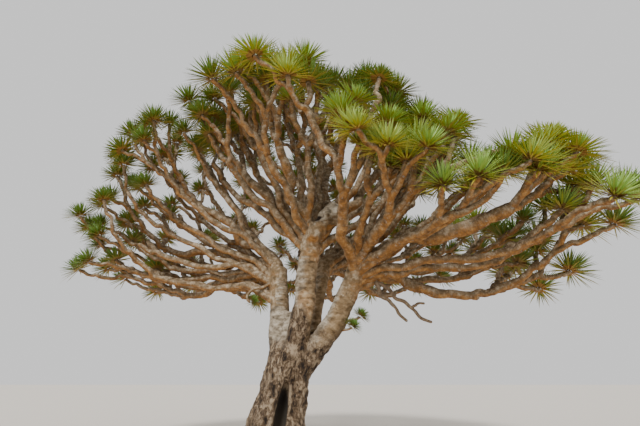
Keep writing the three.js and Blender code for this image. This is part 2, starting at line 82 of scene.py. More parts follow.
# Trunk, as in the frame
TRUNK_HEIGHT = 1640
TRUNK_RADIUS = 288
TRUNK_LEAN = 0.18
LEAN_SHARES = (0.7, 1.4)
FLARE_RADIUS = 275
FLARE_DECAY = 420
FORK_SWELL = 35
FORK_START = 1000
FORK_ROUNDING = 0.42
ROUNDING_HEIGHT = 380
HOLLOW_PLACE = (118, -350, 560)
HOLLOW_HALF = (85, 250, 510)
HOLLOW_LEAN_DEG = 9.5

# Stems: foot, head, the directions at both and the radius at both
STEMS = {
    "left": ((100, 40, 1100), (10, 130, 2680), (-10, 3, 100), (0, 3, 100), (158, 126)),
    "middle": ((225, -120, 1100), (530, -290, 3040), (22, -10, 100), (15, -10, 100), (165, 146)),
    "back": ((370, 120, 1200), (700, 330, 2760), (30, 10, 100), (15, 25, 100), (120, 102)),
    "right": ((330, -40, 1180), (1170, -290, 2580), (80, -10, 90), (25, -15, 100), (172, 138)),
}
STEM_SWAY = 0.012
STEM_PHASE = 1.7
HANDLE_SHARE = 0.36
RIPPLE = 0.3

# The stub of a lost bough on the middle stem: how far up it, the reach and the directions at both ends
STUB = (0.94, (430, -160, 440), (0, -1, 4), (5, 0, 1))
STUB_RADII = (140, 145)
STUB_KNOBS = 18

# Crown: each bough's stem, how far up it the bough leaves, the side and rise of its tip in degrees, as seen
# from the crown's middle, and how far from there its leaves reach
CROWN_MIDDLE = np.array((500.0, 0.0, 2300.0))
REACH_BLEND_DEG = 19
OPEN_SIDE = (208, 16, 2500)
BOUGHS = {
    "low_left": ("left", 0.86, 156, 2, 3900),
    "low_back_left": ("left", 0.9, 124, 9, 4100),
    "far_left": ("left", 0.96, 160, 18, 4800),
    "high_left": ("left", 1, 168, 38, 4520),
    "high_back_left": ("left", 1, 136, 35, 4450),
    "top_left": ("middle", 1, 180, 60, 3800),
    "top_front": ("middle", 1, 235, 68, 3780),
    "top_back": ("middle", 1, 60, 76, 3950),
    "top_right": ("middle", 0.97, 352, 60, 3820),
    "near_front": ("right", 0.93, 290, 38, 2850),
    "low_back": ("back", 0.9, 86, 12, 4000),
    "high_back": ("back", 1, 96, 46, 4300),
    "low_back_right": ("back", 0.95, 46, 13, 4100),
    "high_back_right": ("back", 1, 38, 42, 3900),
    "low_right": ("right", 0.84, 359, -2, 4050),
    "far_right": ("right", 0.95, 331, 15, 5120),
    "upper_right": ("right", 1, 346, 38, 3000),
    "near_right": ("right", 1, 310, 24, 2950),
}
# How much thicker or thinner one bough is, or all those of one stem
GIRTHS = {"far_right": 1.3, "left": 0.84}
BOUGH_SHARE = 0.58
BOUGH_RADII = (94, 68)
BOUGH_LAUNCH_RISE = 0.75
BOUGH_SWAY = 0.045
MASS_START = 0.97

# Twigs, carried one fork further than in the frame
GENERATIONS = 4
LENGTH_RATIO = 0.82
FORK_SPREAD_DEG = 22
FORK_JITTER_DEG = 7
FORK_TURN_JITTER_DEG = 26
LIFT = 0.16
TWIG_RADII = (61, 52, 44, 38, 33)
TWIG_SWAY = 0.05
SHORTEST_SHARE = 0.88
SHARE_SPAN = 0.24
SHORTEST_TWIG = 110
FARTHEST_LOOK = 2800
LOOK_STEP = 40

# Companions: thinner limbs that run beside each bough, and fork once less
COMPANIONS = 2
COMPANION_COUNTS = {
    **dict.fromkeys(("low_left", "far_left"), 7),
    **dict.fromkeys(("top_left", "top_front", "top_right"), 4),
    **dict.fromkeys(("low_right", "far_right"), 3),
    **dict.fromkeys(("low_back_left", "high_back_left"), 1),
    "high_left": 5,
    "near_front": 0,
}
COMPANION_SWAY = 0.028
COMPANION_OFF_DEG = 11
COMPANION_LOWEST_DEG = 6
COMPANION_GIRTH = 0.72
COMPANION_DROP = 0.035
COMPANION_REACH = 0.98
COMPANION_SHORTER = 380

# Rosettes, with shorter leaves on the sides that turn away from the open front
LEAVES = 125
LEAF_LENGTH = 380
LEAF_SHORTEST = 0.72
LONG_LEAF_SIDE = (0.55, -0.83)
LONG_LEAF_SPAN = (-1500, 1500)
SHORTEST_ROOM = 200
LEAF_HALF_WIDTH = 10.5
LEAF_ROOT_RADIUS = 40
LEAF_ROOT_RAISE = 20
FIRST_LEAF_DEG = 6
LAST_LEAF_DEG = 90
GOLDEN_ANGLE = math.pi * (3 - math.sqrt(5))
POLAR_JITTER = 0.22
TURN_JITTER = 0.3
UPTURN = 0.9
DROOP = (0.04, 0.12)
FOLD = 0.35

# A leaf's rows: how far along it each is, and how wide it is there
LEAF_ROWS = ((0.0, 0.8), (0.22, 1.0), (0.68, 0.68))

# Colours of the leaves in tiers from young to old, with a line for each tone: light, dark and bright. The
# nearer to the front a rosette is, the more often it is light or bright: the dark line is a darker copy as
# painted shade, and the bright line a brighter copy as painted light.
TIER_STARTS = (0.2, 0.55, 0.86)
LIT_FRONT_SPAN = (500, 1900)
TIER_COLORS = (
    (0.34, 0.53, 0.125), (0.30, 0.43, 0.072), (0.31, 0.35, 0.023), (0.43, 0.35, 0.039),
    (0.190, 0.331, 0.069), (0.165, 0.262, 0.040), (0.175, 0.205, 0.021), (0.320, 0.262, 0.027),
    (0.45, 0.59, 0.155), (0.40, 0.48, 0.092), (0.41, 0.39, 0.030), (0.53, 0.41, 0.045),
)
LEAF_BASE_COLORS = ((0.36, 0.19, 0.045), (0.31, 0.19, 0.055))

# How far rosettes keep off each other, and how much more in the sparse part of the crown
TIP_KEEP_OFF = 300
END_SLACK = 100
SPARSE_KEEP_OFF = 260
SPARSE_MIDDLE = (-1500, 1700, 3300)
SPARSE_RADIUS = 2600

# How far twigs keep off other limbs, less than 0 as they may touch, and at how many places that is tried
KEEP_OFF = -15
LIMB_PLACES = 24
TWIG_PLACES = 8

# Bare twigs: the one that each leaves, or the bough where that is -1, how far along it, the reach, the
# directions at both ends and the radius at both
BARE_TWIGS = (
    (-1, 0.2, (410, -150, -640), (1, -1, -3), (3, -1, -3), (36, 20)),
    (0, 0.36, (190, -40, -20), (2, 0, -1), (1, 0, -0.2), (24, 19)),
    (0, 0.12, (700, -200, -580), (3, -1, -1), (3, -1, -1), (32, 20)),
    (2, 0.66, (170, -30, 60), (1, 0, 1), (1, 0, -0.2), (23, 18)),
)

# Shoots with a small rosette each: the stem they leave, how far up it, the reach and both directions
SHOOTS = (
    ("right", 0.5, (340, -70, 60), (3, -1, 0), (2, 0, 1)),
    ("right", 0.41, (310, -120, 30), (3, -1, 0), (2, -1, 1)),
    ("left", 0.84, (-420, -120, -290), (-3, -1, 1), (2, 0, -1)),
)
SHOOT_RADII = (26, 18)
SHOOT_LEAF_SHARE = 0.36

# Seeds, with the step from one to the next
BOUGH_SEEDS = (101, 37)
FORK_SEEDS = (900, 53)
MASS_SEEDS = (5000, 211, 97)
COMPANION_SEEDS = (20011, 419)
SHOOT_SEED = 911
STUB_SEED = 77
BOUGH_BARK_SEED = 300
BARE_TWIG_SEED = 700

# A limb's constrictions, with their depth, half length and spacing, its swells and rings, with their depth
# and length, and its knobs. Depths are shares of the radius. Its rounded tip has a few rows.
PINCH_DEPTH = 0.13
PINCH_LENGTH = 34
PINCH_SPACING = (260, 200)
SWELL = (0.05, 120)
RING = (0.018, 74)
KNOBS = 0.07
TIP_ROWS = np.array((0.45, 0.8, 0.96))

# The skin over trunk, stems and stub: its voxel in metres, how much of each bough it covers and how far the
# boughs' own bark starts inside it, the height in metres at which it is split into two pieces, its make, the
# height from which its rings go round the limbs, and a web of bark between the left and the middle stem
VOXEL = 0.018
SKIN_SHARE = 0.16
SKIN_OVERLAP = 0.08
SPLIT_HEIGHT = 1.2
SKIN_PITCH = 40
TRUNK_ROWS = 60
TRUNK_SIDES = 72
MARKS_PER_LIMB = 60
RINGS_FROM = 1.3
WEB_FOOT = (200, -60, 1200)
WEB_TIP = (188, -45, 1990)
WEB_RADII = (210, 60)

# How far up each stem the boughs' warm colours, with their painted bounce light on the undersides, start
WARM_FROM = {"left": 0.8, "middle": 0.97, "back": 0.8, "right": 0.72}

# Places of the relief in metres, with half sizes: rough under the fork, knobby on the stub's burl, and sunk
# in at the burl's hole
ROUGH_RELIEF = ((0.33, -0.33, 1.72), (0.13, 0.2, 0.36))
BURL_RELIEF = ((0.78, -0.43, 3.32), (0.34, 0.3, 0.24))
HOLE_RELIEF = ((0.60, -0.5, 3.29), (0.07, 0.2, 0.06))

# Places of the colours: the rough strip, a rusty patch over it, the stub's warm neck, its pale burl and the
# burl's hole, painted dark as shade, and the inside of the hollow, with painted shade at its top and painted
# light on its foot
ROUGH_STRIP = ((0.32, -0.34, 1.67), (0.18, 0.25, 0.48))
RUSTY_PATCH = ((0.43, -0.36, 2.03), (0.14, 0.22, 0.26))
NECK = ((0.56, -0.42, 3.06), (0.24, 0.22, 0.16))
BURL = ((0.80, -0.45, 3.36), (0.32, 0.28, 0.2))
HOLE = ((0.60, -0.5, 3.29), (0.075, 0.2, 0.06))
HOLLOW_INSIDE = ((0.13, -0.16, 0.6), (0.12, 0.2, 0.5))

# Colours of the bark, each from dark to light
# Limb tops and undersides: the undersides' orange is the bark's own colour together with painted warm bounce
# light from the ground
BOUGH_TOPS = ((0.085, 0.055, 0.022), (0.255, 0.175, 0.095), (0.55, 0.45, 0.32))
BOUGH_UNDERS_WITH_BOUNCE = ((0.115, 0.048, 0.01), (0.34, 0.15, 0.032), (0.55, 0.30, 0.10))
DEAD_TOPS = ((0.12, 0.08, 0.05), (0.24, 0.165, 0.10), (0.38, 0.29, 0.19))
DEAD_UNDERS_WITH_BOUNCE = ((0.12, 0.075, 0.04), (0.26, 0.15, 0.07), (0.36, 0.24, 0.13))
ROUGH_BARK = ((0.01, 0.005, 0.002), (0.125, 0.074, 0.036), (0.46, 0.35, 0.23))
PALE_BARK = ((0.11, 0.085, 0.055), (0.27, 0.22, 0.155), (0.52, 0.45, 0.35))
# Brown for the stems' right sides and undersides: painted shade
SHADED_SIDE_BARK = ((0.08, 0.045, 0.015), (0.185, 0.116, 0.052), (0.33, 0.23, 0.125))
RUSTY_BARK = ((0.16, 0.09, 0.035), (0.35, 0.215, 0.105), (0.50, 0.38, 0.235))

# The facings between which undersides, with their painted warm bounce light, blend into tops
BOUGH_BLEND = (0.3, 0.68)
DEAD_BLEND = (0.2, 0.5)

# Colours of scars and the like, and of the painted light and shade in the hollow and in the burl's hole
STEM_SCAR = (0.13, 0.095, 0.065)
STEM_PIT = (0.06, 0.04, 0.028)
# Painted light on the hollow's foot and painted shade at its top
HOLLOW_LIT_FOOT = (0.12, 0.095, 0.065)
HOLLOW_SHADED_TOP = (0.015, 0.01, 0.006)
HOLE_SHADE = (0.02, 0.01, 0.005)
BOUGH_SCAR = (0.09, 0.06, 0.04)
BOUGH_PIT = (0.05, 0.035, 0.025)
LICHEN = (0.5, 0.47, 0.4)
SPECK = (0.075, 0.05, 0.03)

# Stage and light
FLOOR_HALF = 40
FLOOR_COLOR = (0.66, 0.61, 0.54)
SKY_COLOR = (0.91, 0.91, 0.91)
SUN_STRENGTH = 2.8
SUN_WIDTH_DEG = 12
SUN_TURNS_DEG = (42, -14, 0)

UP = np.array((0.0, 0.0, 1.0))
SIDEWAYS = np.array((1.0, 0.0, 0.0))


def unit(vector):
    return vector / np.linalg.norm(vector)


def vec(values):
    return np.array(values, dtype=float)


def dice(seed):
    """A seeded chain of numbers from 0 to 1."""
    state = seed % 2147483646 + 1

    def roll():
        nonlocal state
        state = state * 16807 % 2147483647
        return state / 2147483647

    roll()
    roll()
    return roll


def heading(side, rise):
    side = math.radians(side)
    rise = math.radians(rise)
    return np.array((math.cos(rise) * math.cos(side), math.cos(rise) * math.sin(side), math.sin(rise)))


AIMS = [heading(side, rise) for _, _, side, rise, _ in BOUGHS.values()]
AIMS = np.array(AIMS + [heading(*OPEN_SIDE[:2])])
REACHES = np.array([reach for *_, reach in BOUGHS.values()] + [OPEN_SIDE[2]], dtype=float)


def crown_reach(directions):
    """How far leaves reach from the crown's middle, for each row of directions."""
    angles = np.arccos(np.clip(directions @ AIMS.T, -1, 1))
    weights = np.exp(-((angles / math.radians(REACH_BLEND_DEG)) ** 2))
    return (weights * REACHES).sum(1) / np.maximum(weights.sum(1), 1e-12)


def rooms_ahead(points, directions):
    """How far it is from each point to the crown's outside along its direction."""
    looks = np.arange(0, FARTHEST_LOOK, LOOK_STEP)
    places = points[:, None, :] + directions[:, None, :] * looks[None, :, None] - CROWN_MIDDLE
    distances = np.linalg.norm(places, axis=2)
    outward = (places / distances[..., None]).reshape(-1, 3)
    outside = distances > crown_reach(outward).reshape(distances.shape)
    first = np.where(outside.any(1), outside.argmax(1), len(looks))
    return first * float(LOOK_STEP)


class LimbLine:
    """A cubic from a foot to a tip, with a sway to the sides that dies out at both ends."""

    DIVISIONS = 48

    def __init__(self, start, end, leave, arrive, sway=0.0, phase=0.0):
        reach = np.linalg.norm(end - start)
        pull = reach * HANDLE_SHARE
        self.start = start
        self.end = end
        self.near_start = start + unit(leave) * pull
        self.near_end = end - unit(arrive) * pull
        self.sway = reach * sway
        self.phase = phase
        along = unit(end - start)
        self.sideways = unit(np.cross(along, UP if abs(along[2]) < 0.9 else SIDEWAYS))
        self.upways = unit(np.cross(self.sideways, along))
        self.shares = np.linspace(0, 1, self.DIVISIONS + 1)
        steps = np.diff(self.points(self.shares), axis=0)
        self.lengths = np.concatenate(([0], np.cumsum(np.linalg.norm(steps, axis=1))))

    def points(self, t):
        t = np.asarray(t, dtype=float)[:, None]
        back = 1 - t
        core = self.start * back ** 3 + self.end * t ** 3
        core = core + 3 * self.near_start * t * back ** 2 + 3 * self.near_end * t ** 2 * back
        fade = np.sin(math.pi * t) ** 2 * self.sway
        aside = np.sin(2 * math.pi * t + self.phase) + RIPPLE * np.sin(7 * math.pi * t + 2 * self.phase)
        above = np.cos(3 * math.pi * t + self.phase) + RIPPLE * np.cos(8 * math.pi * t + 3 * self.phase)
        return core + fade * (self.sideways * aside + self.upways * above)

    def at(self, shares):
        t = np.interp(np.atleast_1d(shares) * self.lengths[-1], self.lengths, self.shares)
        return self.points(t)

    def tangents(self, shares):
        shares = np.atleast_1d(shares).astype(float)
        ahead = self.at(np.minimum(shares + 1e-3, 1))
        behind = self.at(np.maximum(shares - 1e-3, 0))
        steps = ahead - behind
        return steps / np.linalg.norm(steps, axis=1)[:, None]


def frames_along(tangents, first_side=None):
    """A side for each direction, turned as little as it can be, and the direction square to both."""
    sides = []
    side = first_side
    if side is None:
        side = UP if abs(tangents[0][2]) < 0.9 else SIDEWAYS
    for row, along in enumerate(tangents):
        if row > 0:
            turn = Vector(tangents[row - 1]).rotation_difference(Vector(along))
            side = np.array(turn @ Vector(side))
        side = unit(side - along * side.dot(along))
        sides.append(side)
    sides = np.array(sides)
    return sides, np.cross(tangents, sides)


def smoothstep(value, low, high):
    share = np.clip((value - low) / (high - low), 0, 1)
    return share * share * (3 - 2 * share)


def lattice(x, y, z, seed):
    """A number from -1 to 1 for each whole-number place."""
    mixed = (x * 73856093) ^ (y * 19349663) ^ (z * 83492791) ^ (seed * 40503 + 977)
    mixed = (mixed ^ (mixed >> 13)) * 1274126177
    mixed = mixed ^ (mixed >> 16)
    return (mixed & 0xFFFF) / 32767.5 - 1


def lumps(points, size, seed):
    """Smooth seeded noise from -1 to 1, with lumps of that size in metres, one size or one for each axis."""
    places = points / size
    cells = np.floor(places).astype(np.int64)
    share = places - cells
    share = share * share * (3 - 2 * share)
    total = np.zeros(len(points))
    for corner in range(8):
        steps = np.array((corner & 1, corner >> 1 & 1, corner >> 2 & 1))
        weight = np.where(steps == 1, share, 1 - share).prod(1)
        x, y, z = (cells + steps).T
        total += weight * lattice(x, y, z, seed)
    return total


def rings_around(sides, across, steps):
    """Directions square to a line, all round it, for each of its rows."""
    angles = np.arange(steps) / steps * 2 * math.pi
    cosines = np.cos(angles)[None, :, None]
    sines = np.sin(angles)[None, :, None]
    return sides[:, None, :] * cosines + across[:, None, :] * sines


def tapered(radii, shares):
    return radii[0] + (radii[1] - radii[0]) * shares


def new_mesh(name, points, faces):
    mesh = bpy.data.meshes.new(name)
    mesh.from_pydata(points, [], faces)
    mesh.shade_smooth()
    return mesh


class Batch:
    """Closed tubes gathered for one mesh, with how far along its limb each point is."""

    def __init__(self):
        self.points = []
        self.faces = []
        self.along = []
        self.count = 0

    def tube(self, places, sides, across, radii, along):
        """places, sides, across per row; radii per row and angle, in millimetres; both ends are closed."""
        rows, steps = radii.shape
        points = places[:, None, :] + rings_around(sides, across, steps) * radii[:, :, None]
        grid = np.arange(rows * steps).reshape(rows, steps) + self.count
        after = np.roll(grid, -1, axis=1)
        quads = np.stack((grid[:-1], after[:-1], after[1:], grid[1:]), axis=-1).reshape(-1, 4)
        foot, tip = self.count + rows * steps, self.count + rows * steps + 1
        self.points += [points.reshape(-1, 3) * METRES, places[[0, -1]] * METRES]
        self.along += [np.repeat(along, steps) * METRES, along[[0, -1]] * METRES]
        self.faces += quads.tolist()
        self.faces += [(after[0, i], grid[0, i], foot) for i in range(steps)]
        self.faces += [(grid[-1, i], after[-1, i], tip) for i in range(steps)]
        self.count += rows * steps + 2

    def mesh(self, name):
        mesh = new_mesh(name, np.concatenate(self.points), self.faces)
        store(mesh, "along", np.concatenate(self.along))
        return mesh


def store(mesh, name, values):
    """Keeps a number for each of the mesh's points."""
    attribute = mesh.attributes.new(name, "FLOAT", "POINT")
    attribute.data.foreach_set("value", np.asarray(values, dtype=np.float32))


def add_object(name, data):
    made = bpy.data.objects.new(name, data)
    bpy.context.collection.objects.link(made)
    return made


def add_piece(mesh, material, nodes):
    piece = add_object(mesh.name, mesh)
    mesh.materials.append(material)
    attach(piece, "root")
    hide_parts(*nodes)


def add_limb(batch, line, radii, sides, pitch, seed, start=0.0):
    """A ringed tube along a line, with constrictions like a string of sausages, and a rounded tip."""
    roll = dice(seed)
    length = line.lengths[-1]
    count = max(4, round(length * (1 - start) / pitch))
    shares = np.linspace(start, 1, count + 1)
    along = shares * length
    radius = tapered(radii, shares)
    phase = roll() * 1000
    spacing = PINCH_SPACING[0] + PINCH_SPACING[1] * roll()
    nearest = np.abs((along + phase) % spacing - spacing / 2)
    radius = radius * (1 - PINCH_DEPTH * np.exp(-((nearest / PINCH_LENGTH) ** 2)))
    radius = radius * (1 + SWELL[0] * np.sin(along / SWELL[1] + phase))
    radius = radius * (1 + RING[0] * np.sin(along * 2 * math.pi / RING[1] + phase))
    places = line.at(shares)
    tangents = line.tangents(shares)
    side, across = frames_along(tangents)
    rows = len(TIP_ROWS)
    places = np.concatenate((places, places[-1] + tangents[-1] * (radius[-1] * TIP_ROWS)[:, None]))
    side = np.concatenate((side, np.repeat(side[-1:], rows, axis=0)))
    across = np.concatenate((across, np.repeat(across[-1:], rows, axis=0)))
    radius = np.concatenate((radius, radius[-1] * np.sqrt(1 - TIP_ROWS ** 2)))
    along = np.concatenate((along, along[-1] + radius[-1] * TIP_ROWS))
    around = rings_around(side, across, sides)
    surface = ((places[:, None] + around * radius[:, None, None]) * METRES).reshape(-1, 3)
    knobs = lumps(surface, 0.09, 11) + 0.7 * lumps(surface, 0.045, 12)
    uneven = 1 + KNOBS * knobs.reshape(len(along), sides)
    batch.tube(places, side, across, radius[:, None] * uneven, along + phase * 10)


def fork_directions(direction, generation, roll):
    """Two directions that fork away from one, in a plane that turns a quarter with each generation."""
    level = unit(np.cross(UP, direction))
    steep = unit(np.cross(direction, level))
    turn = generation * math.pi / 2 + (roll() - 0.5) * 2 * math.radians(FORK_TURN_JITTER_DEG)
    across = level * math.cos(turn) + steep * math.sin(turn)
    found = []
    for sign in (-1, 1):
        spread = math.radians(FORK_SPREAD_DEG + (roll() - 0.5) * 2 * FORK_JITTER_DEG)
        found.append(unit(direction * math.cos(spread) + across * sign * math.sin(spread) + UP * LIFT))
    return found


# What all twigs of a limb share: their generations, their girth and how far they stay inside the crown
Make = namedtuple("Make", "generations girth short")


class Twig:
    def __init__(self, start, leave, direction, generation, seed, parent, make):
        roll = dice(seed)
        room = rooms_ahead(start[None], direction[None])[0] - LEAF_LENGTH - make.short
        share = (1 - LENGTH_RATIO) / (1 - LENGTH_RATIO ** (make.generations - generation))
        reach = max(SHORTEST_TWIG, room * share * (SHORTEST_SHARE + SHARE_SPAN * roll()))
        self.end = start + direction * reach
        self.arrive = unit(direction + UP * LIFT)
        self.line = LimbLine(start, self.end, leave, self.arrive, TWIG_SWAY, roll() * 2 * math.pi)
        first = generation + GENERATIONS - make.generations
        self.radii = (TWIG_RADII[first] * make.girth, TWIG_RADII[first + 1] * make.girth)
        self.generation = generation
        self.seed = seed
        self.parent = parent
        self.make = make
        self.leaf_share = 1
        self.children = []
        self.forks = fork_directions(direction, generation, roll)

    def grow(self):
        """The twigs that fork from this one's tip."""
        grown = self.generation + 1
        return [
            Twig(self.end, self.arrive, direction, grown, self.seed * 3 + i + 1, self, self.make)
            for i, direction in enumerate(self.forks)
        ]


def stem_line(index, name):
    foot, head, leave, arrive, _ = STEMS[name]
    return LimbLine(vec(foot), vec(head), vec(leave), vec(arrive), STEM_SWAY, index * STEM_PHASE)


def side_limb(parent, at, reach, leave, arrive):
    start = parent.at(at)[0]
    return LimbLine(start, start + vec(reach), vec(leave), vec(arrive), BOUGH_SWAY)


def bough_line(stem, at, side, rise, reach, phase, sway=BOUGH_SWAY):
    outward = heading(side, rise)
    end = CROWN_MIDDLE + outward * (reach * BOUGH_SHARE)
    start = stem.at(at)[0]
    ahead = unit(end - start)
    leave = ahead + UP * (BOUGH_LAUNCH_RISE * (1 - outward[2]))
    return LimbLine(start, end, leave, ahead + outward + UP * LIFT, sway, phase)


def keep_off(place):
    """How far rosettes keep off each other, more around the sparse part of the crown."""
    away = np.linalg.norm(place - vec(SPARSE_MIDDLE)) / SPARSE_RADIUS
    return TIP_KEEP_OFF + SPARSE_KEEP_OFF * (1 - smoothstep(away, 0.5, 1))


class Occupied:
    """Places along the limbs that stand already, with their radii, and a test of what comes too near."""

    def __init__(self):
        self.points = np.zeros((0, 3))
        self.radii = np.zeros(0)
        self.kin = np.zeros((0, 2), dtype=int)

    def add(self, line, radii, count, own=-1, parent=-1):
        shares = np.linspace(0.1, 1, count)
        self.points = np.concatenate((self.points, line.at(shares)))
        self.radii = np.concatenate((self.radii, tapered(radii, shares)))
        self.kin = np.concatenate((self.kin, np.repeat([[own, parent]], count, axis=0)))

    def clear(self, line, radii, parent):
        """Whether a twig keeps off all limbs but its parent and its siblings."""
        shares = np.linspace(0.35, 1, 6)
        own = line.at(shares)
        radius = tapered(radii, shares)
        gaps = np.linalg.norm(own[:, None] - self.points[None], axis=2) - self.radii[None] - radius[:, None]
        others = (self.kin != parent).all(1)
        return gaps[:, others].min() > KEEP_OFF


# The stems, the boughs and their companions, as lines with radii
stem_lines = {name: stem_line(index, name) for index, name in enumerate(STEMS)}
stub_line = side_limb(stem_lines["middle"], *STUB)
bough_lines = {}
companions = []
for index, (name, (stem, at, side, rise, reach)) in enumerate(BOUGHS.items()):
    roll = dice(BOUGH_SEEDS[0] + index * BOUGH_SEEDS[1])
    girth = GIRTHS.get(name, GIRTHS.get(stem, 1))
    line = bough_line(stem_lines[stem], at, side, rise, reach, roll() * 2 * math.pi)
    bough_lines[name] = (line, tuple(radius * girth for radius in BOUGH_RADII), min(girth, 1), 0)
    roll = dice(COMPANION_SEEDS[0] + index * COMPANION_SEEDS[1])
    first_turn = roll() * 2 * math.pi
    count = COMPANION_COUNTS.get(name, COMPANIONS)
    for number in range(count):
        turn = first_turn + number / count * 2 * math.pi
        off = COMPANION_OFF_DEG * (0.8 + 0.4 * roll())
        turned = side + off * math.cos(turn) / math.cos(math.radians(rise))
        raised = max(COMPANION_LOWEST_DEG, rise + off * math.sin(turn))
        shorter = crown_reach(heading(turned, raised)[None])[0] * COMPANION_REACH
        lower = at - COMPANION_DROP * (number + 1)
        phase = roll() * 2 * math.pi
        line = bough_line(stem_lines[stem], lower, turned, raised, shorter, phase, COMPANION_SWAY)
        girth = min(girth, 1)
        radii = tuple(radius * COMPANION_GIRTH * girth for radius in BOUGH_RADII)
        companions.append((line, radii, girth, COMPANION_SHORTER * roll()))

# The twigs, generation by generation, kept where they are clear of what stands already
occupied = Occupied()
for name, line in stem_lines.items():
    occupied.add(line, STEMS[name][4], LIMB_PLACES)
limbs = list(bough_lines.values()) + companions
for line, radii, *_ in limbs:
    occupied.add(line, radii, LIMB_PLACES)
grown = []
for index, (line, radii, girth, short) in enumerate(limbs):
    roll = dice(FORK_SEEDS[0] + index * FORK_SEEDS[1])
    leave = line.tangents(1)[0]
    start = line.at(MASS_START)[0]
    for side, direction in enumerate(fork_directions(leave, 0, roll)):
        seed = MASS_SEEDS[0] + index * MASS_SEEDS[1] + side * MASS_SEEDS[2]
        last = GENERATIONS - (1 if index >= len(BOUGHS) else 0)
        grown.append(Twig(start, leave, direction, 0, seed, None, Make(last, girth, short)))
twigs = []
tips = []
for generation in range(GENERATIONS):
    following = []
    for twig in grown:
        near = [other for other in tips if np.linalg.norm(other - twig.end) < keep_off(twig.end)]
        last = generation == twig.make.generations - 1
        parent = twig.parent.seed if twig.parent else -2
        if generation > 0 and (not occupied.clear(twig.line, twig.radii, parent) or (last and near)):
            continue
        occupied.add(twig.line, twig.radii, TWIG_PLACES, twig.seed, parent)
        twigs.append(twig)
        if last:
            tips.append(twig.end)
        if twig.parent:
            twig.parent.children.append(twig)
        if not last:
            following += twig.grow()
    grown = following

# Short ends too near to a rosette are dropped, so that the crown stays open between its rosettes
ends = sorted((twig for twig in twigs if not twig.children), key=lambda twig: -twig.generation)
rosettes = []
for twig in ends:
    if all(np.linalg.norm(other.end - twig.end) > keep_off(twig.end) - END_SLACK for other in rosettes):
        rosettes.append(twig)
dropped = set(ends) - set(rosettes)
twigs = [twig for twig in twigs if twig not in dropped]

# Each shoot as a twig of its own
Shoot = namedtuple("Shoot", "line end radii generation seed leaf_share")
shoots = []
for number, (stem, *shape) in enumerate(SHOOTS):
    line = side_limb(stem_lines[stem], *shape)
    seed = SHOOT_SEED + number
    shoots.append(Shoot(line, line.end, SHOOT_RADII, GENERATIONS, seed, SHOOT_LEAF_SHARE))
twigs += shoots
rosettes += shoots


